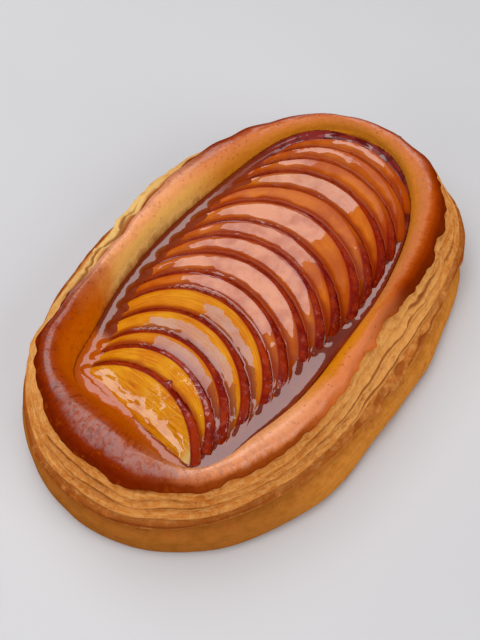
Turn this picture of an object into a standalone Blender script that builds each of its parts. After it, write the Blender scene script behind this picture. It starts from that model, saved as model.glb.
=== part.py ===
# Oval fruit pastry: a laminated case with a high browned rim, and a fan of
# nectarine slices leaning back on each other in its well.
# Metres, +Z up. +Y runs along the case towards the end that the slices lean to.
# The origin is on the flat underside, at the centre of the bounding box.

import math

import bpy
import numpy as np
from mathutils import Vector

MM = 0.001

# The reference outline is the edge of the lowest laminated layer, an oval a
# little squarer than an ellipse. Every other level is an inset from it.
CASE_WIDTH = 90 * MM
CASE_LENGTH = 140 * MM
CASE_SQUARENESS = 2.12
STATIONS = 100

# Heights of the levels of the case
LEDGE_HEIGHT = 9.8 * MM
LIP_HEIGHT = 21.0 * MM
CREST_HEIGHT = 27.0 * MM
WELL_EDGE_HEIGHT = 15.3 * MM

# Laminated layers between the ledge and the lip of the glazed rim: the height
# of each row in its layer and how far it stands out, both as shares
LAYERS = 4
LAYER_PROUD = 1.1 * MM
LAYER_ROWS = ((0.12, 0.9), (0.5, 1.0), (0.95, -0.25))

# The base sheet below the ledge, and the rim inwards from the reference outline
FOOT_SPREAD = 0.6 * MM
LIP_INSET = 6.2 * MM
WELL_INSET = 15.2 * MM
CREST_SHARE = 0.42
WALL_FALL = 0.8
WALL_SLOPE = 1.0 * MM

# The unevenness of the bake round the case, as humps of (millimetres, centre
# and width in degrees, counted from +X towards +Y)
FOOT_HUMPS = ((4.2, -48, 30), (2.4, 20, 40), (2.2, 52, 16), (1.3, -112, 26))
LEDGE_HUMPS = ((4.4, 61, 16),)
LIP_HUMPS = (
    (4.2, -158, 30), (-2.5, -122, 12), (3.9, 4, 27), (-2.7, -62, 23), (-2.0, 66, 20), (-1.0, -38, 45)
)
LIP_RISE_HUMPS = ((3.1, -14, 52), (1.6, -88, 34))
WELL_HUMPS = (
    (-5.6, -63, 11), (4.8, -91, 17), (-3.6, -117, 10), (-6.0, 102, 32), (-2.0, 58, 22), (-2.9, -50, 24)
)
WELL_RISE_HUMPS = ((4.5, 100, 50), (2.6, -165, 35), (1.6, -58, 30))
CREST_HUMPS = ((-2.0, -175, 55), (-2.2, 92, 48))
FRINGE_HUMPS = ((2.6, -160, 38), (1.2, 165, 20))

# The same for plain numbers: where the crest lies across the rim, and how
# steeply the rim falls from it to the well
CREST_SHARE_HUMPS = ((-0.1, 0, 60), (0.19, -60, 28))
WALL_FALL_HUMPS = ((0.4, -45, 60),)

# The floor of the well under the feet of the slices, as Y and Z in millimetres
FLOOR_Y_MM = (-50, -44, -38, -28, 34, 42, 58)
FLOOR_Z_MM = (13.2, 12.4, 12.4, 12.6, 12.8, 14.0, 19.0)

# Slices of fruit, the front one first, at the top of their cut faces
APEX_Y_MM = (-38.2, -32.0, -26.9, -19.9, -12.2, -6.3, 1.4, 8.6, 15.4, 24.3, 30.8, 38.3, 44.3, 50.1, 54.9)
APEX_HEIGHT = 22.3 * MM
FRONT_APEX_HEIGHT = 20.0 * MM
FAN_CENTRE_X = -1.1 * MM
FRUIT_RADIUS = 27.5 * MM
SLICE_DEPTH = 22 * MM
FRONT_SLICES_MM = ((22.3, 10.6), (20.6, 14.0))
CORE_SAG = 1.2 * MM
SLICE_TAPER = 0.3
LAST_THICKNESS = 1.8 * MM
FRONT_TILT = math.radians(27)
FAR_TILT = math.radians(20)
FAN_TURNS = ((0, 0.3, 0.5, 0.7, 1), (-5.0, -8.0, -8.0, -3.0, -1.0))
ARC_STEPS = 18
CHORD_STEPS = 4

# The skin of a slice flares backwards: share of the thickness and growth
SKIN_ROWS_MM = ((0.0, -0.3), (0.15, 0.1), (0.85, 0.9), (1.0, 0.7))

GAP = 0.35 * MM
WALL_GAP = 0.35 * MM


def bump(angle, centre, width):
    """One smooth hump round the case, with all three angles in degrees."""
    away = (angle - centre + 180) % 360 - 180
    return math.exp(-((away / width) ** 2))


def waver(angle, waves, size, start):
    """An uneven sway of several waves round the case."""
    turn = math.radians(angle)
    return size * sum(math.sin(n * turn + start * n) for n in waves) / len(waves)


def oval(half_width, half_length, squareness, count):
    """Evenly spaced points, outward normals and angles round a superellipse."""
    fine = np.linspace(0, 2 * math.pi, 20000)
    x = half_width * np.sign(np.cos(fine)) * np.abs(np.cos(fine)) ** (2 / squareness)
    y = half_length * np.sign(np.sin(fine)) * np.abs(np.sin(fine)) ** (2 / squareness)
    run = np.concatenate([[0], np.cumsum(np.hypot(np.diff(x), np.diff(y)))])
    at = np.linspace(0, run[-1], count, endpoint=False)
    x = np.interp(at, run, x)
    y = np.interp(at, run, y)
    nx = np.sign(x) * np.abs(x / half_width) ** (squareness - 1) / half_width
    ny = np.sign(y) * np.abs(y / half_length) ** (squareness - 1) / half_length
    long = np.hypot(nx, ny)
    angles = np.degrees(np.arctan2(y, x))
    return np.stack([x, y], 1), np.stack([nx / long, ny / long], 1), angles


def round_share(angle, base, humps):
    """A plain number that changes round the case."""
    return base + sum(size * bump(angle, centre, width) for size, centre, width in humps)


def round_case(angle, base, humps, wave=0.0):
    """A measure that changes round the case."""
    return base + wave + MM * round_share(angle, 0.0, humps)


def foot_spread(angle):
    """How far the base sheet reaches past the ledge: most at the right front."""
    return round_case(angle, FOOT_SPREAD, FOOT_HUMPS, waver(angle, (5, 8, 13), 0.5 * MM, 0.7))


def lip_inset(angle):
    """From the ledge in to the wavy lip of the glazed rim."""
    return round_case(angle, LIP_INSET, LIP_HUMPS, waver(angle, (19, 24, 31), 0.45 * MM, 1.3))


def lip_height(angle):
    """The lip rides higher on the right and at the front."""
    return round_case(angle, LIP_HEIGHT, LIP_RISE_HUMPS)


def well_inset(angle):
    """From the ledge in to the edge of the well, whose front corners are square."""
    return round_case(angle, WELL_INSET, WELL_HUMPS, waver(angle, (3, 7), 0.3 * MM, 2.1))


def side_rows(angle):
    """Base sheet and laminated side as (outward offset, height), upwards."""
    foot = foot_spread(angle)
    ledge = round_case(angle, 0.0, LEDGE_HUMPS)
    rows = [
        (foot - 0.9 * MM, 0.0),
        (foot - 0.1 * MM, 0.8 * MM),
        (foot, 3.4 * MM),
        (foot * 0.72, 6.4 * MM),
        (foot * 0.2 + ledge * 0.6 - 1.3 * MM, 8.6 * MM),
    ]
    inset = lip_inset(angle) - round_case(angle, 0.0, FRINGE_HUMPS)
    strength = LAYER_PROUD * (1 - 0.45 * bump(angle, 12, 40))
    for layer in range(LAYERS):
        for share, proud in LAYER_ROWS:
            up = (layer + share) / LAYERS
            sway = waver(angle, (6, 11, 17), 0.35 * MM, layer)
            height = LEDGE_HEIGHT + up * (lip_height(angle) - LEDGE_HEIGHT) + sway
            rows.append((strength * proud + ledge * (1 - up) - inset * up**0.9, height))
    return rows


def rim_rows(angle):
    """Glazed rim from its lip, over its crest and down the wall of the well."""
    lip, well = lip_inset(angle), well_inset(angle)
    crest = lip + (well - lip) * round_share(angle, CREST_SHARE, CREST_SHARE_HUMPS)
    top = round_case(angle, CREST_HEIGHT, CREST_HUMPS, waver(angle, (2, 5, 9), 0.5 * MM, 0.4))
    start = lip_height(angle) + 0.7 * MM
    edge = round_case(angle, WELL_EDGE_HEIGHT, WELL_RISE_HUMPS)
    fall = round_share(angle, WALL_FALL, WALL_FALL_HUMPS)
    rows = [(0.25 * MM - lip, start)]
    for turn in (25, 50, 75):
        swing = math.radians(turn)
        offset = -crest + (crest - lip) * math.cos(swing) ** 0.9
        rows.append((offset, start + (top - start) * math.sin(swing)))
    for turn in (95, 115, 135, 155, 175):
        swing = math.radians(turn)
        offset = -crest + (well - crest) * math.cos(swing)
        rows.append((offset, edge + (top - edge) * math.sin(swing) ** fall))
    return rows


def floor_height(y):
    """The well's floor, which rises to carry the first and the last slices."""
    return np.interp(y / MM, FLOOR_Y_MM, FLOOR_Z_MM) * MM


def case_rings():
    """Closed rings of points from the rim of the underside to the floor of the well."""
    points, normals, angles = oval(CASE_WIDTH / 2, CASE_LENGTH / 2, CASE_SQUARENESS, STATIONS)
    sections = [side_rows(a) + rim_rows(a) for a in angles]
    rings = []
    for row in range(len(sections[0])):
        offsets = np.array([s[row][0] for s in sections])
        heights = np.array([s[row][1] for s in sections])
        flat = points + normals * offsets[:, None]
        rings.append(np.column_stack([flat, heights]))
    insets = np.array([well_inset(a) for a in angles])[:, None]
    edges = rings[-1][:, 2]
    for share, lift in ((0.55, 0.45), (1.0, 0.0)):
        flat = points - normals * (insets + share * WALL_SLOPE)
        floor = floor_height(flat[:, 1])
        rings.append(np.column_stack([flat, floor + lift * (edges - floor)]))
    return rings


def centred(rings):
    """The rings moved so that the origin is the middle of their bounding box."""
    every = np.concatenate(rings)[:, :2]
    middle = (every.max(0) + every.min(0)) / 2
    return [ring - np.array([*middle, 0.0]) for ring in rings]


def material(name, colour, roughness):
    made = bpy.data.materials.new(name)
    made.use_nodes = True
    shader = made.node_tree.nodes["Principled BSDF"]
    shader.inputs["Base Color"].default_value = (*colour, 1.0)
    shader.inputs["Roughness"].default_value = roughness
    shader.inputs["Metallic"].default_value = 0.0
    return made


def add_object(name, points, faces, finish):
    mesh = bpy.data.meshes.new(name)
    mesh.from_pydata([tuple(p) for p in points], [], faces)
    mesh.validate()
    mesh.materials.append(finish)
    mesh.shade_smooth()
    mesh.set_sharp_from_angle(angle=math.radians(50))
    made = bpy.data.objects.new(name, mesh)
    bpy.context.scene.collection.objects.link(made)
    return made


def skin_rings(rings, last_cap):
    """Quads between neighbouring rings, with one face as the first cap."""
    count = len(rings[0])
    faces = [tuple(range(count))[::-1]]
    for level in range(len(rings) - 1):
        low, high = level * count, (level + 1) * count
        for i in range(count):
            j = (i + 1) % count
            faces.append((low + i, low + j, high + j, high + i))
    top = (len(rings) - 1) * count
    faces.extend(tuple(top + i for i in face) for face in last_cap)
    return np.concatenate(rings), faces


def floor_strips(count):
    """The floor of the well as strips that join stations at the same distance along."""
    quarter = count // 4
    faces = []
    for i in range(-quarter, quarter):
        near, far = count // 2 - i, count // 2 - i - 1
        faces.append(tuple(dict.fromkeys(n % count for n in (i, i + 1, far, near))))
    return faces


def slice_axes(tilt, turn):
    """Across, up the slope and out of the cut face of a slice."""
    across = Vector((math.cos(turn), math.sin(turn), 0.0))
    level = Vector((-math.sin(turn), math.cos(turn), 0.0))
    slope = level * math.cos(tilt) + Vector((0.0, 0.0, math.sin(tilt)))
    return across, slope, across.cross(slope)


def slice_outline(radius, depth):
    """A half moon: the arc of skin from end to end, then the core edge back."""
    reach = math.acos(max(-1.0, (radius - depth) / radius))
    arc = [reach * (1 - 2 * i / ARC_STEPS) for i in range(ARC_STEPS + 1)]
    outline = [(-radius * math.sin(a), radius * math.cos(a) - radius) for a in arc]
    half = radius * math.sin(reach)
    for i in range(1, CHORD_STEPS):
        along = 1 - 2 * i / CHORD_STEPS
        outline.append((half * along, -depth + CORE_SAG * (1 - along**2)))
    return outline


def slice_layers(radius, depth, thickness):
    """Four outlines through the thickness, wider at the back where the skin flares."""
    layers = []
    for share, growth in SKIN_ROWS_MM:
        scale = 1 + growth * MM / radius
        layer = []
        for u, w in slice_outline(radius, depth):
            w = max(-depth, (w + radius) * scale - radius)
            layer.append((u * scale, w, -thickness * share * core_taper(w, depth)))
        layers.append(layer)
    return layers


def core_taper(w, depth):
    """A slice is thinner towards its core edge."""
    return 1 - SLICE_TAPER * min(1.0, max(0.0, -w / depth))


def placed(layers, apex, axes):
    across, slope, out = axes
    return [[apex + across * u + slope * w + out * m for u, w, m in layer] for layer in layers]


def wall_outline(rings, height):
    """The wall of the well in plan at a height, read between its rings."""
    first = len(side_rows(0)) + 4
    wall = np.array(rings[first : first + 7])
    outline = []
    for station in range(STATIONS):
        column = wall[::-1, station]
        outline.append([np.interp(height, column[:, 2], column[:, axis]) for axis in (0, 1)])
    return np.array(outline)


def room_in_well(points, walls):
    """The least distance in plan from any of the points to the wall at its height."""
    least = 1.0
    for x, y, z in points:
        wall = walls[int(z / MM)]
        edge = np.roll(wall, -1, axis=0) - wall
        away = (x, y) - wall
        along = np.clip((away * edge).sum(1) / (edge**2).sum(1), 0, 1)
        away -= edge * along[:, None]
        distance = np.hypot(away[:, 0], away[:, 1])
        k = distance.argmin()
        inside = away[k, 1] * edge[k, 0] - away[k, 0] * edge[k, 1] > 0
        least = min(least, distance[k] if inside else -distance[k])
    return least


def slice_pose(k):
    """Apex and axes of a slice: the fan swings and flattens along the case."""
    share = k / (len(APEX_Y_MM) - 1)
    tilt = FRONT_TILT + (FAR_TILT - FRONT_TILT) * min(1.0, share * 2.2)
    axes = slice_axes(tilt, math.radians(np.interp(share, *FAN_TURNS)))
    height = FRONT_APEX_HEIGHT + (APEX_HEIGHT - FRONT_APEX_HEIGHT) * min(1.0, share * 4)
    return APEX_Y_MM[k] * MM, height, axes


def slice_size(k, size):
    """Radius and depth of a slice: the front ones are cut from nearer the skin."""
    if k < len(FRONT_SLICES_MM):
        radius, depth = FRONT_SLICES_MM[k]
        return radius * MM * size, depth * MM * size
    return FRUIT_RADIUS * size, min(SLICE_DEPTH, FRUIT_RADIUS * size * 0.8)


def thickness_to(behind, apex, axes, radius, depth):
    """The thickness that fills the room in front of the slice behind."""
    if behind is None:
        return LAST_THICKNESS
    room = []
    for _, growth in SKIN_ROWS_MM:
        scale = 1 + growth * MM / radius
        for u, w in slice_outline(radius, depth):
            w = max(-depth, (w + radius) * scale - radius)
            point = apex + axes[0] * (u * scale) + axes[1] * w
            clear = (point - behind[0]).dot(behind[1]) - GAP
            room.append(clear / (core_taper(w, depth) * axes[2].dot(behind[1])))
    return min(room)


def lay_slices(rings):
    """Places the slices from the far end forwards, each clear of the one behind."""
    walls = [wall_outline(rings, height * MM) for height in range(30)]
    laid = []
    behind = None
    for k in reversed(range(len(APEX_Y_MM))):
        y, height, axes = slice_pose(k)
        for size in np.linspace(1.0, 0.5, 51):
            radius, depth = slice_size(k, size)
            apex = Vector((FAN_CENTRE_X + axes[1].x * depth, y, height))
            thickness = thickness_to(behind, apex, axes, radius, depth)
            layers = placed(slice_layers(radius, depth, thickness), apex, axes)
            if room_in_well([p for layer in layers for p in layer], walls) > WALL_GAP:
                break
        laid.append(layers)
        behind = (apex, axes[2])
    return laid[::-1]


def clear_scene():
    for old in list(bpy.data.objects):
        bpy.data.objects.remove(old)


def main():
    clear_scene()
    rings = centred(case_rings())
    crust = material("crust", (0.62, 0.30, 0.09), 0.6)
    points, faces = skin_rings(rings, floor_strips(STATIONS))
    add_object("pastry_case", points, faces, crust)
    for k, layers in enumerate(lay_slices(rings)):
        outline = [np.array([tuple(p) for p in layer]) for layer in layers]
        points, faces = skin_rings(outline, [tuple(range(len(layers[0])))])
        fresh = max(0.0, 1 - k / 5)
        flesh = material(f"nectarine_{k + 1:02d}", (0.62 + 0.1 * fresh, 0.21 + 0.14 * fresh, 0.03), 0.2)
        add_object(f"slice_{k + 1:02d}", points, faces, flesh)


main()
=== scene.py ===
import math
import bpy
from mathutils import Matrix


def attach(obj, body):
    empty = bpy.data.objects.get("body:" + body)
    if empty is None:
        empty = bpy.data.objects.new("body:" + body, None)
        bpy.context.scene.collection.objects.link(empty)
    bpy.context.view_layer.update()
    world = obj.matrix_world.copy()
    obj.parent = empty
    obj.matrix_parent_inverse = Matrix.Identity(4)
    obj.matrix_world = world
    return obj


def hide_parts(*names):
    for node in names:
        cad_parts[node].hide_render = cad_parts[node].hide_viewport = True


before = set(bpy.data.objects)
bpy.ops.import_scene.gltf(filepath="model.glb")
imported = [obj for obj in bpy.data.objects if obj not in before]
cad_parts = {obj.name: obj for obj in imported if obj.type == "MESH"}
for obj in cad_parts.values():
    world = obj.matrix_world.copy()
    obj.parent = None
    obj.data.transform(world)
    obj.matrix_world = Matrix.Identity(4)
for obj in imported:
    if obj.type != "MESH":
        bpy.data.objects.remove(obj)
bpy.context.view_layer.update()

from types import SimpleNamespace

import bpy
import numpy as np
from mathutils import Matrix, Vector

mm = 0.001


class Wire:  # an output socket: an expression on it adds Math nodes

    def __init__(self, paint, socket):
        self.paint = paint
        self.socket = socket

    def __add__(self, other):
        return self.paint.maths("ADD", self, other)

    def __radd__(self, other):
        return self.paint.maths("ADD", other, self)

    def __sub__(self, other):
        return self.paint.maths("SUBTRACT", self, other)

    def __rsub__(self, other):
        return self.paint.maths("SUBTRACT", other, self)

    def __mul__(self, other):
        return self.paint.maths("MULTIPLY", self, other)

    def __rmul__(self, other):
        return self.paint.maths("MULTIPLY", other, self)


class Paint:  # one material while its nodes are laid

    def __init__(self, name):
        self.material = bpy.data.materials.new(name)
        self.material.use_nodes = True
        self.tree = self.material.node_tree
        self.tree.nodes.clear()

    def node(self, kind, settings, values, output=0):  # settings first, then sockets
        made = self.tree.nodes.new(kind)
        for key, value in settings.items():
            setattr(made, key, value)
        for key, value in values.items():
            if isinstance(value, Wire):
                self.tree.links.new(value.socket, made.inputs[key])
            else:
                made.inputs[key].default_value = value
        return Wire(self, made.outputs[output]) if made.outputs else made

    def maths(self, operation, first, second=0.0):
        return self.node("ShaderNodeMath", {"operation": operation}, {0: first, 1: second})

    def blend(self, mask, below, above):  # colours only
        return self.node("ShaderNodeMix", {"data_type": "RGBA"}, {0: mask, 6: below, 7: above}, 2)

    def step(self, value, low, high, start=0.0, end=1.0):  # a smooth step between two values
        values = {"Value": value, "From Min": low, "From Max": high, "To Min": start, "To Max": end}
        return self.node("ShaderNodeMapRange", {"interpolation_type": "SMOOTHSTEP"}, values)

    def ramp(self, value, stops):  # colours along a value of 0 to 1
        made = self.node("ShaderNodeValToRGB", {}, {"Fac": value})
        colours = made.socket.node.color_ramp
        for position, colour in stops[1:-1]:
            colours.elements.new(position)
        for element, (position, colour) in zip(colours.elements, stops):
            element.position, element.color = position, colour
        return made

    def kept(self, name):  # a value that the mesh keeps at each point
        return self.node("ShaderNodeAttribute", {"attribute_name": name}, {}, "Fac")

    def place(self):
        return self.node("ShaderNodeTexCoord", {}, {}, "Object")

    def grain(self, size, detail=3.0, rough=0.55, twist=0.0):  # noise in space, size in mm
        values = {"Vector": self.place(), "Scale": 1 / (size * mm), "Detail": detail}
        values.update({"Roughness": rough, "Distortion": twist})
        return self.node("ShaderNodeTexNoise", {}, values)

    def drawn(self, detail, *places):  # noise stretched over values that the mesh keeps
        spot = self.node("ShaderNodeCombineXYZ", {}, dict(enumerate(places)))
        return self.node("ShaderNodeTexNoise", {}, {"Vector": spot, "Scale": 1.0, "Detail": detail})

    def cells(self, size):  # distance to the nearest scattered point
        return self.node("ShaderNodeTexVoronoi", {}, {"Vector": self.place(), "Scale": 1 / (size * mm)})

    def relief(self, height, depth, strength=1.0, under=None):  # depth in mm
        values = {"Height": height, "Distance": depth * mm, "Strength": strength}
        if under:
            values["Normal"] = under
        return self.node("ShaderNodeBump", {}, values)

    def finish(self, sockets):
        shader = self.node("ShaderNodeBsdfPrincipled", {}, sockets)
        self.node("ShaderNodeOutputMaterial", {}, {"Surface": shader})
        return self.material


def tint(red, green, blue):  # a colour as a screen shows it, 0 to 255
    parts = [part / 255 for part in (red, green, blue)]
    return (*[p / 12.92 if p < 0.04045 else ((p + 0.055) / 1.055) ** 2.4 for p in parts], 1.0)


def hump(angle, centre, width):  # one smooth hump round the case, in degrees
    away = (angle - centre + 180) % 360 - 180
    return np.exp(-((away / width) ** 2))


def sway(angle, waves, size, start):  # uneven waves round the case
    turn = np.radians(angle)
    return size * sum(np.sin(n * turn + start * n) for n in waves) / len(waves)


def ease(value, low, high):
    share = np.clip((value - low) / (high - low), 0, 1)
    return share * share * (3 - 2 * share)


def lattice(u, v, uCount, vCount, seed):  # soft noise of -1 to 1, periodic in u over 0 to 1
    knots = np.random.default_rng(seed).uniform(-1, 1, (uCount, vCount + 2))
    x, y = (u % 1.0) * uCount, np.clip(v, 0, 1) * vCount
    i, j = np.floor(x).astype(int), np.minimum(np.floor(y).astype(int), vCount)
    fx, fy = x - i, y - j
    fx, fy = fx * fx * (3 - 2 * fx), fy * fy * (3 - 2 * fy)
    i, k = i % uCount, (i + 1) % uCount
    low = knots[i, j] * (1 - fx) + knots[k, j] * fx
    high = knots[i, j + 1] * (1 - fx) + knots[k, j + 1] * fx
    return low * (1 - fy) + high * fy


def meshPiece(name, points, faces, values, material, nodes=()):  # points in mm
    mesh = bpy.data.meshes.new(name)
    mesh.from_pydata((points * mm).reshape(-1, 3).tolist(), [], faces)
    for key, amount in values.items():
        amounts = np.broadcast_to(amount, points.shape[:-1]).astype(np.float32).ravel()
        mesh.attributes.new(key, "FLOAT", "POINT").data.foreach_set("value", amounts)
    mesh.materials.append(material)
    mesh.shade_smooth()
    piece = bpy.data.objects.new(name, mesh)
    bpy.context.scene.collection.objects.link(piece)
    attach(piece, "root")
    if nodes:
        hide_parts(*nodes)
    return piece


def gridFaces(rows, columns):  # quads between rows that close on themselves
    here = np.arange(rows * columns).reshape(rows, columns)
    beside = np.roll(here, -1, axis=1)
    return np.stack([here[:-1], beside[:-1], beside[1:], here[1:]], -1).reshape(-1, 4).tolist()


def stripFaces(first, columns, flip):  # closes an oval ring with strips across it
    quarter = columns // 4
    faces = []
    for i in range(-quarter, quarter):
        ends = (i, i + 1, columns // 2 - i - 1, columns // 2 - i)
        ring = [first + n for n in dict.fromkeys(n % columns for n in ends)]
        faces.append(ring[::-1] if flip else ring)
    return faces


# The case: the same section as the solid, all round an oval, with finer relief
case = {
    "width": 90, "length": 140, "squareness": 2.12,  # edge of the lowest layer, mm
    "ledge": 9.8, "lip": 21.0, "crest": 27.0, "wellEdge": 15.3,  # heights
    "baseRows": (  # shares of the foot's and the ledge's spread, outward offset and height
        (1, 0, -0.9, 0.0), (1, 0, -0.1, 0.8), (1, 0, 0.0, 3.4), (0.72, 0, 0.0, 6.4), (0.2, 0.6, -1.3, 8.6),
    ),
    "layers": 4, "proud": 1.1, "layerRows": ((0.12, 0.9), (0.5, 1.0), (0.95, -0.25)),
    "calm": 0.45, "calmAt": (12, 40),  # where the layers stand less proud
    "foot": 0.6, "lipInset": 6.2, "wellInset": 15.2, "crestShare": 0.42,
    "lipTuck": 0.25, "lipStep": 0.7, "shoulder": 0.9, "fall": 0.8,  # the rim's two curves
    "outerTurns": (25, 50, 75), "innerTurns": (95, 115, 135, 155, 175),
    "wallSlope": 1.0, "wallSteps": ((0.55, 0.45), (1.0, 0.0)),
    "footHumps": ((4.2, -48, 30), (2.4, 20, 40), (2.2, 52, 16), (1.3, -112, 26)),  # mm, centre, width
    "ledgeHumps": ((4.4, 61, 16),),
    "lipHumps": (
        (4.2, -158, 30), (-2.5, -122, 12), (3.9, 4, 27), (-2.7, -62, 23), (-2.0, 66, 20), (-1.0, -38, 45),
    ),
    "lipRiseHumps": ((3.1, -14, 52), (1.6, -88, 34)),
    "wellHumps": (
        (-5.6, -63, 11), (4.8, -91, 17), (-3.6, -117, 10), (-6.0, 102, 32), (-2.0, 58, 22), (-2.9, -50, 24),
    ),
    "wellRiseHumps": ((4.5, 100, 50), (2.6, -165, 35), (1.6, -58, 30)),
    "crestShareHumps": ((-0.1, 0, 60), (0.19, -60, 28)), "fallHumps": ((0.4, -45, 60),),
    "crestHumps": ((-2.0, -175, 55), (-2.2, 92, 48)),
    "fringeHumps": ((2.6, -160, 38), (1.2, 165, 20)),
    "floorY": (-50, -44, -38, -28, 34, 42, 58),
    "floorZ": (13.2, 12.4, 12.4, 12.6, 12.8, 14.0, 19.0),
    "stations": 720, "perRow": 4,
    "grooveDepth": 1.5, "grooveWidth": 0.4, "leafDepth": 0.55, "leafWidth": 0.22,  # widths in rows
    "scallop": 0.75, "lipProud": 0.45, "underLip": 0.8, "flake": 0.8,
    "crinkle": 0.45, "rugged": 0.6, "lump": 0.3, "bellyLump": 0.35, "sideLump": 0.25, "sideRipple": 0.15,
    "rightAt": (5, 45), "frontAt": (-106, 50), "farAt": (84, 64), "flakyAt": (-172, 42),  # centre, width
}
firstLayerRow, lipRow, crestRow, wallRow = 5, 17, 20, 26  # rows of the section


def ovalStations(count):
    fine = np.linspace(0, 2 * math.pi, 40000)
    power = case["squareness"]
    cosine, sine = np.cos(fine), np.sin(fine)
    x = case["width"] / 2 * np.sign(cosine) * np.abs(cosine) ** (2 / power)
    y = case["length"] / 2 * np.sign(sine) * np.abs(sine) ** (2 / power)
    run = np.concatenate([[0], np.cumsum(np.hypot(np.diff(x), np.diff(y)))])
    at = np.linspace(0, run[-1], count, endpoint=False)
    x, y = np.interp(at, run, x), np.interp(at, run, y)
    nx = np.sign(x) * np.abs(x * 2 / case["width"]) ** (power - 1) / case["width"]
    ny = np.sign(y) * np.abs(y * 2 / case["length"]) ** (power - 1) / case["length"]
    span = np.hypot(nx, ny)
    return np.stack([x, y], 1), np.stack([nx / span, ny / span], 1), np.degrees(np.arctan2(y, x))


def roundCase(angle, base, humps):  # a measure that changes round the case
    return base + sum(size * hump(angle, at, width) for size, at, width in case[humps])


def footSpread(angle):
    return roundCase(angle, case["foot"], "footHumps") + sway(angle, (5, 8, 13), 0.5, 0.7)


def lipInset(angle):
    return roundCase(angle, case["lipInset"], "lipHumps") + sway(angle, (19, 24, 31), 0.45, 1.3)


def wellInset(angle):
    return roundCase(angle, case["wellInset"], "wellHumps") + sway(angle, (3, 7), 0.3, 2.1)


def caseSection(angle):  # outward offset and height of each row, upwards and inwards
    foot, lip, well = footSpread(angle), lipInset(angle), wellInset(angle)
    ledge, flat = roundCase(angle, 0, "ledgeHumps"), np.zeros_like(angle)
    side = lip - roundCase(angle, 0, "fringeHumps")
    lipTop = roundCase(angle, case["lip"], "lipRiseHumps")
    rows = []
    for onFoot, onLedge, out, up in case["baseRows"]:
        rows.append((foot * onFoot + ledge * onLedge + out, flat + up))
    strength = case["proud"] * (1 - case["calm"] * hump(angle, *case["calmAt"]))
    for layer in range(case["layers"]):
        for share, proud in case["layerRows"]:
            up = (layer + share) / case["layers"]
            height = case["ledge"] + up * (lipTop - case["ledge"]) + sway(angle, (6, 11, 17), 0.35, layer)
            rows.append((strength * proud + ledge * (1 - up) - side * up**0.9, height))
    start, edge = lipTop + case["lipStep"], roundCase(angle, case["wellEdge"], "wellRiseHumps")
    crest = lip + (well - lip) * roundCase(angle, case["crestShare"], "crestShareHumps")
    top = roundCase(angle, case["crest"], "crestHumps") + sway(angle, (2, 5, 9), 0.5, 0.4)
    fall = roundCase(angle, case["fall"], "fallHumps")
    rows.append((case["lipTuck"] - lip, start))
    for turn in np.radians(case["outerTurns"]):
        out = (crest - lip) * math.cos(turn) ** case["shoulder"] - crest
        rows.append((out, start + (top - start) * math.sin(turn)))
    for turn in np.radians(case["innerTurns"]):
        out = (well - crest) * math.cos(turn) - crest
        rows.append((out, edge + (top - edge) * math.sin(turn) ** fall))
    return np.array([r[0] for r in rows]), np.array([r[1] for r in rows]), well


def floorHeight(y):
    return np.interp(y, case["floorY"], case["floorZ"])


def smoothRows(rows, steps):  # a smooth curve through the rows, with even steps between them
    padded = np.concatenate([rows[:1], rows, rows[-1:]])
    fine = []
    for i in range(len(rows) - 1):
        p0, p1, p2, p3 = padded[i : i + 4]
        for t in np.arange(steps) / steps:
            bend = (2 * p0 - 5 * p1 + 4 * p2 - p3) * t * t + (3 * p1 - p0 - 3 * p2 + p3) * t**3
            fine.append(0.5 * (2 * p1 + (p2 - p0) * t + bend))
    fine.append(rows[-1])
    return np.array(fine)


def caseForm():
    flat, normal, angle = ovalStations(case["stations"])
    offset, height, well = caseSection(angle)
    every = (flat + normal * offset[:, :, None]).reshape(-1, 2)
    centre = (every.max(0) + every.min(0)) / 2  # the solid is centred on its box
    edges = height[-1]
    for share, lift in case["wallSteps"]:
        inset = -(well + share * case["wallSlope"])
        floor = floorHeight((flat + normal * inset[:, None])[:, 1])
        offset = np.vstack([offset, inset])
        height = np.vstack([height, floor + lift * (edges - floor)])
    offset, height = smoothRows(offset, case["perRow"]), smoothRows(height, case["perRow"])
    row = np.linspace(0, len(offset[::case["perRow"]]) - 1, len(offset))[:, None]
    return flat - centre, normal, angle[None, :], offset, np.maximum(height, 0.0), row


def rowHump(row, at, width):
    return np.exp(-(((row - at) / width) ** 2))


def layerLines(row, around, right):  # the open grooves between the layers, and the thin edges of leaves
    groove, leaf = np.zeros_like(row + around), np.zeros_like(row + around)
    for k in range(case["layers"]):
        line = firstLayerRow + 3 * k - 0.55 + 0.3 * lattice(around, 0.5, 26, 1, 40 + k)
        groove += rowHump(row, line, case["grooveWidth"]) * (1.0 if k == 0 else 1 - 0.7 * right)
    for k in range(2 * case["layers"]):
        line = firstLayerRow + 0.4 + 1.5 * k + 0.5 * lattice(around, 0.5, 34, 1, 60 + k)
        fades = ease(lattice(around, 0.5, 19, 1, 80 + k), -0.5, 0.4)
        leaf += rowHump(row, line, case["leafWidth"]) * fades
    return groove, leaf


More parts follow.
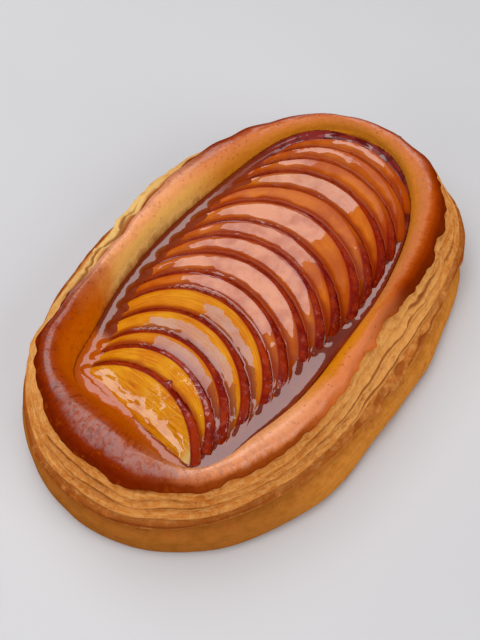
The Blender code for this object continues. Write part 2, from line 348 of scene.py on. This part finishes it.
def caseRelief(offset, height, row, angle, around):
    right, share = hump(angle, *case["rightAt"]), row / 28  # the right is the calm broad side
    side = ease(row, 4.2, 5.0) * (1 - ease(row, lipRow - 0.6, lipRow))
    groove, leaf = (lines * side for lines in layerLines(row, around, right))
    crinkle = lattice(around, share, 130, 42, 5) + 0.6 * lattice(around, share, 260, 60, 6)
    crinkle *= ease(row, 10, 13) * (1 - ease(row, lipRow - 0.8, lipRow)) * (0.2 + 0.8 * right)
    ridge = rowHump(row, firstLayerRow + 1.2, 2.2) * right
    rugged = lattice(around, share, 90, 36, 7) + 0.7 * lattice(around, share, 190, 70, 8)
    rim = ease(row, lipRow - 0.3, lipRow + 0.5) * (1 - ease(row, wallRow - 1, wallRow))
    lumps = lattice(around, share, 30, 9, 11) + 0.5 * lattice(around, share, 70, 20, 12)
    waves = lattice(around, 0.5, 118, 1, 21) + 0.6 * lattice(around, 0.5, 205, 1, 22)
    lipBand, under = rowHump(row, lipRow + 0.15, 0.7), rowHump(row, lipRow - 0.55, 0.3)
    belly = (1 - ease(row, 4.0, 5.0)) * ease(row, 0.3, 1.0)
    flaky = hump(angle, *case["flakyAt"])
    flaky = flaky * ease(row, 11, 13.5) * (1 - ease(row, lipRow - 0.9, lipRow - 0.4))
    ragged = ease(lattice(around, share, 90, 16, 9) + 0.5 * lattice(around, share, 210, 30, 10), -0.2, 0.3)
    offset = offset - case["grooveDepth"] * groove - case["leafDepth"] * leaf - case["underLip"] * under
    offset = offset + case["crinkle"] * crinkle + case["rugged"] * ridge * rugged
    offset = offset + case["flake"] * flaky * ragged
    offset = offset + (case["scallop"] * waves * (0.7 + 0.8 * right) + case["lipProud"]) * lipBand
    offset = offset + case["bellyLump"] * lumps * belly
    offset = offset + case["sideLump"] * lattice(around, share, 48, 12, 31) * side
    height = height + case["lump"] * lumps * rim
    height = height + case["sideRipple"] * lattice(around, share, 160, 30, 32) * side
    values = {"groove": groove, "leaf": leaf, "right": right, "underLip": under, "flaky": flaky}
    values["front"], values["far"] = hump(angle, *case["frontAt"]), hump(angle, *case["farAt"])
    values["glaze"] = ease(row, lipRow - 0.35, lipRow - 0.05)
    values["rise"] = np.clip((row - lipRow) / (wallRow + 1 - lipRow), 0, 1)
    values["height"], values["around"] = height / case["crest"], around
    values["ledgeEdge"] = rowHump(row, firstLayerRow + 0.9, 0.8)
    values["rugged"] = ridge * np.clip(0.5 - 0.5 * rugged, 0, 1)
    return offset, height, values


# The rim's colours, zone by zone, from its outer edge down to the foot of the well's wall; the salmon bands
# of the left, right and far zones are the rim's colour with a painted sheen of the sky mixed in
crust = {
    # the stops from 0.17 to 0.54 hold a painted sheen
    "left": (
        (0.0, tint(140, 56, 12)), (0.1, tint(156, 70, 18)), (0.17, tint(214, 124, 72)),
        (0.36, tint(246, 168, 122)), (0.54, tint(246, 170, 104)), (0.66, tint(250, 198, 104)),
        (0.8, tint(250, 204, 118)), (0.89, tint(160, 86, 28)), (1.0, tint(84, 22, 8)),
    ),
    "front": (
        (0.0, tint(116, 34, 3)), (0.1, tint(112, 28, 2)), (0.22, tint(138, 42, 3)),
        (0.36, tint(156, 60, 10)), (0.48, tint(172, 68, 2)), (0.64, tint(208, 102, 2)),
        (0.8, tint(218, 118, 4)), (0.92, tint(160, 64, 4)), (1.0, tint(110, 34, 4)),
    ),
    # the stops from 0.05 to 0.36 hold a painted sheen
    "right": (
        (0.0, tint(214, 108, 16)), (0.05, tint(208, 108, 48)), (0.14, tint(220, 124, 72)),
        (0.36, tint(226, 132, 76)), (0.44, tint(226, 132, 30)), (0.54, tint(232, 144, 14)),
        (0.7, tint(206, 118, 12)), (0.84, tint(130, 52, 10)), (1.0, tint(84, 22, 10)),
    ),
    # the stops at 0.48 and 0.58 hold a painted sheen
    "far": (
        (0.0, tint(104, 32, 3)), (0.18, tint(124, 38, 3)), (0.32, tint(152, 54, 3)),
        (0.41, tint(184, 82, 22)), (0.48, tint(218, 124, 70)), (0.58, tint(224, 136, 72)),
        (0.68, tint(226, 144, 50)), (0.8, tint(220, 142, 34)), (0.91, tint(140, 66, 14)),
        (1.0, tint(84, 22, 12)),
    ),
    "shine": (0.1, 0.22, 0.28, 0.42),  # where the egg wash starts, is full, fades and ends
}


def crustFields(p):  # what the case keeps at each point, and the noise over it
    names = ("rise", "glaze", "groove", "leaf", "front", "right", "far", "height", "ledgeEdge", "underLip")
    f = SimpleNamespace(**{name: p.kept(name) for name in (*names, "flaky", "rugged", "around")})
    f.streak = p.drawn(3.0, f.around * 300, f.rise * 5)  # runs inwards over the rim
    f.sheets = p.drawn(4.0, f.around * 90, f.height * 70)  # runs along the layers
    f.broad, f.middle, f.fine = p.grain(14, 4), p.grain(3.2, 4, 0.6), p.grain(0.7, 3, 0.6)
    f.pitted = p.grain(1.4, 3, 0.65, 0.5)
    f.pores = p.step(p.cells(1.7), 0.2, 0.08) * p.step(p.grain(9, 2), 0.42, 0.6)
    return f


def sideColour(p, f):  # from its ground colours to the painted shade in the creases between the layers
    golden = p.blend(p.step(f.broad, 0.38, 0.62), tint(222, 142, 66), tint(206, 122, 48))
    pale = p.step(f.right * p.step(f.height, 0.42, 0.6), 0.25, 0.8)
    golden = p.blend(pale, golden, tint(232, 160, 84))
    belly = p.blend(p.step(f.middle, 0.3, 0.7), tint(162, 96, 34), tint(180, 110, 44))
    # a lighter copy of the belly, painted light on the right side
    litBelly = p.blend(p.step(f.middle, 0.3, 0.7), tint(198, 122, 44), tint(218, 144, 62))
    belly = p.blend(p.step(f.right, 0.1, 0.5), belly, litBelly)
    belly = p.blend(p.step(f.sheets, 0.42, 0.66) * 0.25, belly, tint(150, 84, 28))
    side = p.blend(p.step(f.height, 0.36, 0.3), golden, belly)
    side = p.blend(p.step(f.middle, 0.5, 0.75) * (0.5 + f.right * 0.3), side, tint(176, 92, 34))
    layered = p.step(f.height, 0.33, 0.39)
    thin = layered * (1 - f.right * 0.5)
    side = p.blend(thin * p.step(f.sheets, 0.5, 0.64) * 0.45, side, tint(178, 94, 34))
    side = p.blend(thin * p.step(f.sheets, 0.46, 0.36) * 0.45, side, tint(242, 186, 112))
    side = p.blend(layered * p.step(f.pitted, 0.55, 0.4) * 0.35, side, tint(240, 182, 108))
    side = p.blend(f.ledgeEdge * p.step(f.middle, 0.2, 0.5) * (1 - f.right * 0.6), side, tint(150, 72, 22))
    side = p.blend(f.flaky * p.step(f.middle, 0.2, 0.5), side, tint(244, 200, 122))
    # painted shade in the hollows of the rugged ridge
    side = p.blend(p.step(f.rugged, 0.35, 0.75) * 0.7, side, tint(150, 70, 20))
    # painted shade in the thin creases between leaves and in the open grooves between the layers
    side = p.blend(p.step(f.leaf, 0.1, 0.8) * 0.8, side, tint(140, 62, 18))
    side = p.blend(p.step(f.groove, 0.05, 0.7) * 0.55, side, tint(160, 80, 26))
    side = p.blend(p.step(f.groove, 0.6, 0.95) * 0.85, side, tint(104, 42, 10))
    # painted shade along the very bottom, next to the floor
    side = p.blend(p.step(f.height, 0.08, 0.0) * 0.5, side, tint(150, 82, 26))
    # painted shade under the lip, less of it on the right
    return p.blend(p.step(f.underLip, 0.3, 0.9) * (1 - f.right * 0.8) * 0.8, side, tint(160, 66, 14))


def rimColour(p, f):
    across = f.rise + (f.middle - 0.5) * 0.1 + (f.streak - 0.5) * 0.07
    left, front, right, far = (p.ramp(across, crust[zone]) for zone in ("left", "front", "right", "far"))
    patchy = (f.broad - 0.5) * 0.4
    rim = p.blend(p.step(f.front + patchy, 0.4, 0.75), left, front)
    rim = p.blend(p.step(f.right + patchy, 0.3, 0.75), rim, right)
    rim = p.blend(p.step(f.far, 0.1, 0.42), rim, far)
    rim = p.blend(p.step(f.middle, 0.45, 0.3) * f.front * 0.35, rim, tint(200, 92, 12))
    rim = p.blend(p.step(f.middle, 0.5, 0.75) * (0.15 + f.front * 0.25), rim, tint(128, 42, 6))
    streaked = p.step(f.streak, 0.5, 0.65) * p.step(f.rise, 0.6, 0.4) * f.front
    rim = p.blend(streaked * 0.6, rim, tint(100, 26, 4))
    spotted = p.step(f.pitted, 0.56, 0.66) * (1 - f.right) * p.step(f.rise, 0.6, 0.45)
    rim = p.blend(spotted * 0.35, rim, tint(110, 32, 4))
    return p.blend(f.pores * 0.4, rim, tint(130, 50, 12))


def crustShine(p, f):  # the egg wash shines along the rim's crest
    starts, full, fades, ends = crust["shine"]
    inset = p.step(f.far, 0.1, 0.42) * (0.14 + p.step(f.right, 0.05, 0.3) * 0.2) + f.front * 0.1
    across = f.rise - inset + (f.streak - 0.5) * 0.1 + (f.middle - 0.5) * 0.2
    shine = f.glaze * p.step(across, starts, full) * p.step(across, ends, fades, 0, 0.9)
    shine = shine * p.step(f.pitted, 0.32, 0.6, 0.3, 1.0) * (1 - f.pores * 0.8)
    return shine * (1 - p.step(f.right, 0.2, 0.7, 0, 0.75) * p.step(f.far, 0.6, 0.35))


def crustMaterial():
    p = Paint("bakedCrust")
    f = crustFields(p)
    base = p.blend(f.glaze, sideColour(p, f), rimColour(p, f))
    rough = p.step(f.glaze, 0, 1, 0.7, 0.42) + (f.fine - 0.5) * 0.12
    bumps = p.relief(f.fine, 0.2, 0.5)
    bumps = p.relief(f.middle, 0.4, 0.4, bumps)
    bumps = p.relief(f.sheets * (1 - f.glaze), 0.4, 0.4, bumps)
    bumps = p.relief(f.pitted, 0.45, 0.5, bumps)
    bumps = p.relief(1 - f.pores, 0.25, 0.6, bumps)
    sockets = {"Base Color": base, "Roughness": rough, "Coat Weight": crustShine(p, f), "Normal": bumps}
    sockets.update({"Coat Roughness": 0.24, "Coat IOR": 1.75, "Specular IOR Level": 0.0})
    return p.finish(sockets)


def buildCase():
    flat, normal, angle, offset, height, row = caseForm()
    around = (np.arange(case["stations"]) / case["stations"])[None, :]
    offset, height, values = caseRelief(offset, height, row, angle, around)
    count, stations = offset.shape
    points = np.empty((count, stations, 3))
    points[:, :, :2] = flat + normal * offset[:, :, None]
    points[:, :, 2] = np.maximum(height, 0.0)
    points[0, :, 2] = 0.0
    faces = gridFaces(count, stations) + stripFaces(0, stations, True)
    faces += stripFaces((count - 1) * stations, stations, False)
    meshPiece("pastryCase", points, faces, values, crustMaterial(), ["pastry_case"])
    print("case:", count * stations, "points")
    return points


casePoints = buildCase()


# The fruit: each slice is read back from its solid
fruit = {
    "count": 15, "tilt": 27.0, "farTilt": 20.0, "tiltRun": 2.2, "taper": 0.3,
    "turns": ((0, 0.3, 0.5, 0.7, 1), (-5.0, -8.0, -8.0, -3.0, -1.0)),  # share of the row, degrees
    "stations": 130, "faceRows": 40, "skinRows": 10, "backRows": 4, "crowd": 1.35,
    "flare": 0.9, "rightFlare": 1.2,  # how far the skin swells beyond the cut face, mm
    "wobble": (0.3, 0.1), "waves": (0.14, 0.05),  # of the skin's arc and of the cut face, mm
    "film": 0.22, "rollOver": 0.6, "rollWidth": 2.6,  # the glaze on a slice, and its fall to the skin
    "fillet": 2.8, "filletRise": 0.62, "brimRise": 1.1,  # the glaze in the step down from the slice before
    "filled": (0.0,) * 12 + (0.6, 0.9, 0.9),  # how far it hides that step
    "tear": 1.5, "tearAt": 0.54, "tearWidth": 0.02,  # the torn tip of the first skin
    "wet": (  # where each slice mirrors the sky: from and to along it, from foot to skin
        (0.05, 0.9, -0.3, 0.42), (0.02, 0.2, 0.3, 0.9), (0.34, 0.97, -0.3, 0.76), (0.25, 0.95, -0.3, 0.64),
        (0.44, 0.97, -0.1, 0.58), (0.27, 0.96, 0.0, 1.3), (0.1, 1.1, 0.1, 1.3), (0.12, 1.0, 0.25, 1.3),
        (0.12, 0.6, 0.2, 1.3), (0.1, 0.58, 0.1, 1.3), (0.7, 1.0, 0.2, 1.0), (-0.1, 0.62, 0.12, 1.3),
        (0.1, 0.36, 0.2, 1.0), (0.2, 0.5, 0.3, 0.9), (0.35, 0.65, 0.3, 0.9),
    ),
    "wetFade": (0.12, 0.3),  # over what share of the length and of the face that fades
    "shade": (0.0, 0.05, 0.4, 0.3, 0.35, 0.75, 0.8, 0.85, 0.9, 0.75, 0.9, 0.6, 0.9, 1.0, 1.0),  # 1 is brown
    "bare": (0.0,) * 10 + (0.7, 0.0, 0.75, 1.2, 1.2),  # the share, from the left, whose skin is glazed over
    "speckled": 2,  # how many of the first slices have sparkling spots
}


class Slice:  # one slice's place: apex, axes, radius, depth and thickness in mm

    def __init__(self, k):
        self.k, self.share = k, k / (fruit["count"] - 1)
        levelled = min(1, self.share * fruit["tiltRun"])
        tilt = math.radians(fruit["tilt"] + (fruit["farTilt"] - fruit["tilt"]) * levelled)
        turn = math.radians(np.interp(self.share, *fruit["turns"]))
        self.across = np.array([math.cos(turn), math.sin(turn), 0.0])
        level = np.array([-math.sin(turn), math.cos(turn), 0.0])
        self.slope = level * math.cos(tilt) + np.array([0, 0, math.sin(tilt)])
        self.out = np.cross(self.across, self.slope)
        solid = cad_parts[f"slice_{k + 1:02d}"].data
        spots = np.array([v.co for v in solid.vertices]) / mm
        u, w, m = spots @ self.across, spots @ self.slope, spots @ self.out
        self.thick = m.max() - m.min()
        top = w.max() - fruit["flare"]
        self.apex = self.across * (u.max() + u.min()) / 2 + self.slope * top + self.out * m.max()
        self.depth, self.radius = top - w.min(), 25.0
        for _ in range(4):
            half = (u.max() - u.min()) / 2 / (1 + fruit["flare"] / self.radius)
            self.radius = (half**2 + self.depth**2) / (2 * self.depth)
        self.reach = math.acos((self.radius - self.depth) / self.radius)

    def spots(self, u, w, m):  # from the slice's own axes to the row frame
        return self.apex + u[..., None] * self.across + w[..., None] * self.slope + m[..., None] * self.out

    def own(self, points):  # and back to the first two axes
        away = points - self.apex
        return away @ self.across, away @ self.slope


def flareAt(along):
    return fruit["flare"] * ease(along, -0.06, 0.2) + fruit["rightFlare"] * ease(along, 0.55, 0.86)


def wetAt(k, along, strip):  # above zero where the slice mirrors the sky
    (start, stop, low, high), (fade, rise) = fruit["wet"][k], fruit["wetFade"]
    bounds = [(along - start) / fade, (stop - along) / fade, (strip - low) / rise, (high - strip) / rise]
    return np.clip(np.minimum.reduce([b + 0 * strip for b in bounds]), -1, 1)


def overRows(face, skin, back):  # one value for each point of the slice's three bands of rows
    rows = (fruit["faceRows"], fruit["skinRows"] - 1, fruit["backRows"])
    bands = zip((face, skin, back), rows)
    return np.hstack([np.broadcast_to(value, (fruit["stations"], count)) for value, count in bands])


def cutFace(piece, along, uArc, wArc):  # from the core edge to the skin, under its film of glaze
    k, sunk = piece.k, ease(piece.share, 0.72, 0.95)
    face = np.linspace(1, 0, fruit["faceRows"])[None, :] ** fruit["crowd"]
    u, w = uArc + 0 * face, wArc + (-piece.depth - wArc) * face
    inward = piece.radius - np.hypot(u, w + piece.radius)  # mm in from the skin
    roll = np.clip(1 - inward / fruit["rollWidth"], 0, 1) ** 2.2
    hides = ease(fruit["bare"][k] - along, -0.1, 0.1)
    m = fruit["film"] * (1 + 2 * sunk) - fruit["rollOver"] * (1 - sunk) * (1 - hides) * roll
    broad, small = fruit["waves"]
    m = m + broad * lattice(along, face, 11, 5, 340 + k) + small * lattice(along, face, 34, 11, 360 + k)
    return u, w, m, inward


def glazeStep(piece, before, along, u, w, m, inward):  # fills the step down from the slice before
    uIn, wIn = before.own(piece.spots(u, w, m))
    there = 0.5 + np.arctan2(uIn, wIn + before.radius) / (2 * before.reach)
    clear = np.hypot(uIn, wIn + before.radius) - before.radius - flareAt(there)  # mm clear of it
    filled = fruit["filled"][piece.k] * ease(-along, -0.8, -0.6)
    uneven = 1 + 0.4 * lattice(along, 0.5, 23, 1, 380 + piece.k)
    near = np.clip(1 - clear / (fruit["fillet"] * uneven * (1 + 0.5 * filled)), 0, 1)
    most = fruit["filletRise"] + (fruit["brimRise"] - fruit["filletRise"]) * filled
    rise = before.thick * most * near ** (2.2 - 0.3 * filled) * ease(along, 0.0, 0.16)
    m = np.where(clear > 0, m + rise, np.minimum(m, 0.1))
    deepGlazeShade = np.where(clear > 0, near**1.5, 1.0) * (1 - 0.6 * filled)
    shown = np.clip(clear, 0, 99)
    return m, deepGlazeShade, shown / (shown + np.clip(inward, 0.3, 99))


def buildSlice(piece, before, material):
    k, thick = piece.k, piece.thick
    i = np.linspace(-1, 1, fruit["stations"])[:, None]
    along, a = i / 2 + 0.5, -piece.reach * i * 0.995
    broad, small = fruit["wobble"]
    wobble = broad * lattice(along, 0.5, 9, 1, 300 + k) + small * lattice(along, 0.5, 31, 1, 320 + k)
    radius = piece.radius + wobble * (1 - i**4)
    uArc, wArc = -radius * np.sin(a), radius * np.cos(a) - piece.radius
    u, w, m, inward = cutFace(piece, along, uArc, wArc)
    deepGlazeShade, strip = 0, 1 + w / piece.depth  # the depth of the glaze, which also sets a painted shade, and the share from foot to skin
    if before is not None:
        m, deepGlazeShade, strip = glazeStep(piece, before, along, u, w, m, inward)
    skin = np.linspace(0, 1, fruit["skinRows"])[None, 1:]
    mSkin = m[:, -1:] + (-thick - m[:, -1:]) * skin
    swell = np.sin(np.clip(skin * 1.15, 0, 1) * np.pi / 2) ** 1.2
    grown = flareAt(along) * swell - 0.3 * ease(skin, 0.85, 1.0)
    if before is None:
        tip = np.exp(-(((along - fruit["tearAt"]) / fruit["tearWidth"]) ** 2))
        grown = grown + fruit["tear"] * tip * np.sin(skin * np.pi)
    uSkin, wSkin = uArc + grown * -np.sin(a), wArc + grown * np.cos(a)
    wBack = wArc + (-piece.depth - wArc) * np.linspace(0.06, 1, fruit["backRows"])[None, :]
    mBack = -thick * (1 - fruit["taper"] * np.clip(-wBack / piece.depth, 0, 1))
    uAll, mAll = overRows(u, uSkin, uArc), overRows(m, mSkin, mBack)
    points = piece.spots(uAll, overRows(w, np.maximum(wSkin, -piece.depth), wBack), mAll)
    rows, columns = uAll.shape
    faces = [f[::-1] for f in gridFaces(rows, columns)]
    faces.append(list(range(columns)))
    faces.append(list(range((rows - 1) * columns, rows * columns))[::-1])
    shown = ease(along, fruit["bare"][k] - 0.04, fruit["bare"][k] + 0.1)
    wet = wetAt(k, along, strip)
    values = {"side": along, "shade": fruit["shade"][k], "speckled": float(k < fruit["speckled"])}
    values["shown"], values["skin"] = shown, overRows(0, shown * ease(skin, 0.02, 0.14), shown)
    values["inward"], values["wet"] = overRows(inward / 10, 0, 0), overRows(wet, wet[:, -1:], wet[:, -1:])
    values["deepGlazeShade"], values["strip"] = overRows(deepGlazeShade, 0, 0), overRows(strip, 1, 1)
    name = f"slice{k + 1:02d}"
    meshPiece(name, points, faces, values, material, [f"slice_{k + 1:02d}"])


def fruitMaterial():
    p = Paint("glazedNectarine")
    skin, inward, shade, deepGlazeShade, side = (p.kept(n) for n in ("skin", "inward", "shade", "deepGlazeShade", "side"))
    strip, wet, speckled = p.kept("strip"), p.kept("wet"), p.kept("speckled")
    broad, fibre, fine = p.grain(9, 3), p.grain(2.2, 4, 0.6, 0.6), p.grain(0.5, 2)
    patch, crumb = p.grain(5.5, 3, 0.55, 0.4), p.grain(1.3, 3, 0.6, 0.8)
    grained = p.drawn(3.0, side * 9, strip * 26, shade * 40)

    # The flesh, yellow in the first slices and brown in the last, and the skin
    fresh = p.blend(p.step(broad, 0.35, 0.65), tint(212, 122, 2), tint(226, 152, 10))
    cooked = p.blend(p.step(broad, 0.35, 0.65), tint(184, 82, 8), tint(210, 110, 20))
    browned = shade + (broad - 0.5) * 0.4 + (0.5 - strip) * 0.3 + p.step(shade, 0.3, 0.4) * (side - 0.3) * 0.5
    flesh = p.blend(p.step(browned, 0.15, 0.75), fresh, cooked)
    flesh = p.blend(p.step(fibre, 0.55, 0.78) * 0.35, flesh, tint(222, 136, 20))
    flesh = p.blend(p.step(inward, 0.14, 0.0) * p.step(shade, 0.1, 0.6, 0.2, 0.6), flesh, tint(178, 66, 12))
    flesh = p.blend(p.step(grained, 0.5, 0.62) * p.step(shade, 0.8, 0.1) * 0.45, flesh, tint(242, 176, 46))
    flesh = p.blend(p.step(grained, 0.46, 0.36) * 0.4, flesh, tint(172, 78, 6))
    pale = p.step(side, 0.86, 0.95) * p.step(shade, 0.2, 0.1)
    flesh = p.blend(pale, flesh, tint(234, 204, 130))
    # darker at the foot where the glaze lies thick, partly painted shade from the slice in front
    flesh = p.blend(p.step(deepGlazeShade + shade * 0.3, 0.3, 0.95) * 0.88, flesh, tint(150, 44, 4))
    flesh = p.blend(p.step(inward, 0.045, 0.0) * p.kept("shown"), flesh, tint(132, 16, 6))
    peel = p.blend(p.step(broad + (fibre - 0.5) * 0.5, 0.3, 0.7), tint(122, 14, 4), tint(170, 52, 6))
    peel = p.blend(p.step(side, 0.16, 0.06), peel, tint(130, 50, 14))
    peel = p.blend(p.step(crumb, 0.58, 0.7) * 0.5, peel, tint(200, 84, 54))
    base = p.blend(skin, flesh, peel)

    # The glaze mirrors the sky in ragged patches, and in spots on the first slices
    mirror = p.step(wet + (patch - 0.5) * 1.7 + (crumb - 0.5) * 0.8, -0.04, 0.04)
    spots = p.step(crumb + (patch - 0.5) * 0.8, 0.6, 0.64) * p.step(strip, 0.45, 0.6)
    spots = spots * p.step(side, 0.45, 0.6) * speckled
    mirror = mirror + spots * (1 - mirror)
    uneven = p.step(broad + (fibre - 0.5) * 0.6, 0.3, 0.6, 0.66, 0.96)
    mirror = mirror * uneven + (1 - mirror) * p.step(shade, 0.6, 1, 0, 0.13)
    syrupy = p.step(shade, 0.7, 0.4) * (1 - speckled) * (1 - skin)
    base = p.blend(mirror * syrupy * 0.6, base, tint(130, 46, 24))
    coat = mirror * (1 - skin) + skin * p.step(crumb, 0.5, 0.6, 0.1, 0.8)
    bumps = p.relief(fine, 0.05, 0.2)
    bumps = p.relief(fibre, 0.25, 0.25, bumps)
    sockets = {"Base Color": base, "Roughness": 0.35, "Coat Weight": coat, "Coat Roughness": 0.05}
    sockets.update({"Normal": bumps, "Specular IOR Level": 0.06, "Coat IOR": 1.9})
    return p.finish(sockets)


slices = [Slice(k) for k in range(fruit["count"])]
glazedNectarine = fruitMaterial()
for piece in slices:
    buildSlice(piece, slices[piece.k - 1] if piece.k else None, glazedNectarine)
print("fruit:", len(slices), "slices")


# The glaze that has pooled round the fruit
pool = {
    "level": 15.4, "levelHumps": ((2.0, -28, 36), (-1.4, -76, 18), (3.5, 98, 45)),  # mm, centre, width
    "cell": 0.4, "thick": 0.6, "climb": 0.7, "climbWidth": 0.8,  # it climbs what it touches
    "underWall": 0.6, "underFruit": 1.2,  # how far it reaches into what holds it
    "wrinkle": 1.2, "wrinkles": (26, 8), "farFrom": (28, 52),  # the far end is wrinkled
    "west": (4, 10), "amberY": (33, 37), "amberX": (-17.5, -14.5), "ebbFrom": (12, 26), "shore": 10,
}


def insideRing(ring, x, y):  # how far each point is inside a nearly round ring, mm
    angle = np.arctan2(y, x)
    ringAngle = np.arctan2(ring[:, 1], ring[:, 0])
    order = np.argsort(ringAngle)
    limit = np.interp(angle, ringAngle[order], np.hypot(ring[:, 0], ring[:, 1])[order], period=2 * math.pi)
    return limit - np.hypot(x, y)


def solidHeights(x, y):  # the top of the slices over each point of the plan
    tops = np.full(x.shape, -1.0)
    for piece in slices:
        basis = np.array([piece.across[:2], piece.slope[:2]]).T
        away = np.stack([x - piece.apex[0], y - piece.apex[1]], -1) @ np.linalg.inv(basis).T
        u, w = away[..., 0], away[..., 1]
        on = (np.hypot(u, w + piece.radius) < piece.radius) & (w > -piece.depth)
        tops = np.where(on, np.maximum(tops, piece.apex[2] + w * piece.slope[2]), tops)
    return tops


def climbAround(held):  # how far the glaze climbs, most where it is held
    climb = np.where(held, pool["climb"], 0.0)
    fade = 1 + (pool["cell"] / pool["climbWidth"]) ** 2 / 4
    for _ in range(60):
        near = sum(np.roll(climb, step, axis) for axis in (0, 1) for step in (1, -1)) / 4
        climb = np.where(held, pool["climb"], near / fade)
    return climb


def poolMaterial():
    p = Paint("pooledGlaze")
    amber, west, shore, wrinkled = p.kept("amber"), p.kept("west"), p.kept("shore"), p.kept("far")
    broad, patch = p.grain(10, 3), p.grain(4, 4, 0.6)
    base = p.blend(p.step(broad, 0.35, 0.65), tint(118, 36, 10), tint(140, 52, 14))
    base = p.blend(west, base, tint(134, 50, 10))
    base = p.blend(amber, base, tint(196, 92, 3))
    plum = p.blend(p.step(p.grain(3, 3), 0.4, 0.6), tint(96, 12, 20), tint(140, 44, 40))
    base = p.blend(wrinkled, base, plum)
    reach = shore * pool["shore"] + (patch - 0.5) * 4  # mm from the wall, unevenly
    coat = 1 - west * (1 - p.step(reach, 3.0, 2.7))
    coat = coat * (1 - amber) + amber * p.step(reach, 1.2, 1.5) * 0.8
    coat = coat * p.step(shore * pool["shore"] + (patch - 0.5) * 0.6, 0.5, 0.8)
    coat = coat * (1 - wrinkled * p.step(patch, 0.55, 0.5) * 0.8) * (1 - p.kept("ebb") * 0.85)
    bumps = p.relief(p.grain(7, 2), 0.3, 0.25)
    sockets = {"Base Color": base, "Roughness": 0.35, "Coat Weight": coat, "Normal": bumps}
    sockets.update({"Coat Roughness": 0.04, "Coat IOR": 1.8, "Specular IOR Level": 0.08})
    return p.finish(sockets)


def buildPool(wall):
    cell, low, high = pool["cell"], wall[:, :2].min(0) - 1, wall[:, :2].max(0) + 1
    x, y = np.meshgrid(np.arange(low[0], high[0], cell), np.arange(low[1], high[1], cell))
    room, tops = insideRing(wall, x, y), solidHeights(x, y)
    angle, far = np.degrees(np.arctan2(y, x)), ease(y, *pool["farFrom"])
    level = pool["level"] + sum(size * hump(angle, at, width) for size, at, width in pool["levelHumps"])
    surface = level + climbAround((room < cell / 2) | (tops > level))
    wrinkles = np.abs(lattice(angle / 360 + 0.5, room / 14, *pool["wrinkles"], 51))
    surface = surface + far * pool["wrinkle"] * wrinkles
    keep = (room > -pool["underWall"]) & (tops < surface + pool["underFruit"])
    number = -np.ones(x.shape, int)
    number[keep] = np.arange(keep.sum())
    corners = (number[:-1, :-1], number[:-1, 1:], number[1:, 1:], number[1:, :-1])
    corners = np.stack(corners, -1).reshape(-1, 4)
    faces = corners[(corners >= 0).all(1)].tolist()
    west = ease(-x, *pool["west"]) * (1 - far)
    amber = ease(-y, *pool["amberY"]) * ease(-x, *pool["amberX"])
    fields = {"far": far, "west": west, "ebb": west * ease(y, *pool["ebbFrom"]), "amber": amber}
    fields["shore"] = np.clip(room / pool["shore"], 0, 1)
    values = {name: field[keep] for name, field in fields.items()}
    points = np.stack([x[keep], y[keep], surface[keep]], -1)
    piece = meshPiece("glazePool", points, faces, values, poolMaterial())
    thicken = piece.modifiers.new("depth", "SOLIDIFY")
    thicken.thickness = pool["thick"] * mm
    thicken.offset = -1.0
    print("pool:", len(faces), "faces")


buildPool(casePoints[wallRow * case["perRow"]])


# The floor, the light and the camera
studio = {
    "place": (67.0, -101.8, 187.2), "yaw": 35.0, "down": 56.9, "roll": 2.1, "lens": 45.0,  # camera, mm
    "floor": tint(214, 215, 217), "floorShade": tint(206, 207, 211),
    "air": (0.86, 0.88, 0.92), "airStrength": 0.16,
    "lights": (  # name, place in metres, facing, width, height, power, colour
        ("sky", (-0.48, -0.06, 1.0), (0.0, 0.0, 1.0), 1.04, 1.7, 12.3, (1.0, 0.975, 0.985)),
        ("rightFill", (0.9, 0.05, 0.46), (0.9, 0.05, 0.46), 0.9, 0.9, 5.6, (1.0, 0.98, 0.95)),
        ("frontFill", (-0.28, -1.05, 0.46), (-0.25, -0.95, 0.42), 0.9, 0.4, 2.6, (1.0, 0.98, 0.96)),
    ),
}


def aimed(direction):  # a turn whose -Z looks back along the direction
    return Vector(direction).normalized().to_track_quat("Z", "Y")


def buildFloor():
    bpy.ops.mesh.primitive_plane_add(size=3.0, location=(0, 0, -0.0002))
    floor = bpy.context.object
    floor.name = "paleFloor"
    p = Paint("paleFloor")
    shade = p.blend(p.step(p.grain(60, 2), 0.3, 0.7) * 0.2, studio["floor"], studio["floorShade"])
    floor.data.materials.append(p.finish({"Base Color": shade, "Roughness": 0.5}))


def buildLights():
    world = bpy.data.worlds.new("air")
    world.use_nodes = True
    background = world.node_tree.nodes["Background"]
    background.inputs["Color"].default_value = (*studio["air"], 1.0)
    background.inputs["Strength"].default_value = studio["airStrength"]
    bpy.context.scene.world = world
    for name, place, facing, width, height, power, colour in studio["lights"]:
        light = bpy.data.lights.new(name, "AREA")
        light.shape, light.size, light.size_y = "RECTANGLE", width, height
        light.energy, light.color = power, colour
        lamp = bpy.data.objects.new(name, light)
        lamp.location = place
        lamp.rotation_mode = "QUATERNION"
        lamp.rotation_quaternion = aimed(facing)
        bpy.context.scene.collection.objects.link(lamp)


def buildCamera():
    camera = bpy.data.objects.new("camera", bpy.data.cameras.new("camera"))
    camera.data.lens, camera.data.sensor_width = studio["lens"], 36.0
    camera.data.clip_start = 0.005
    turn = Matrix.Rotation(math.radians(studio["yaw"]), 4, "Z")
    turn = turn @ Matrix.Rotation(math.radians(90 - studio["down"]), 4, "X")
    turn = turn @ Matrix.Rotation(math.radians(studio["roll"]), 4, "Z")
    camera.matrix_world = Matrix.Translation(Vector(studio["place"]) * mm) @ turn
    bpy.context.scene.collection.objects.link(camera)
    bpy.context.scene.camera = camera
    bpy.context.scene.view_settings.view_transform = "Standard"


buildFloor()
buildLights()
buildCamera()
print("studio: floor, lights and camera")
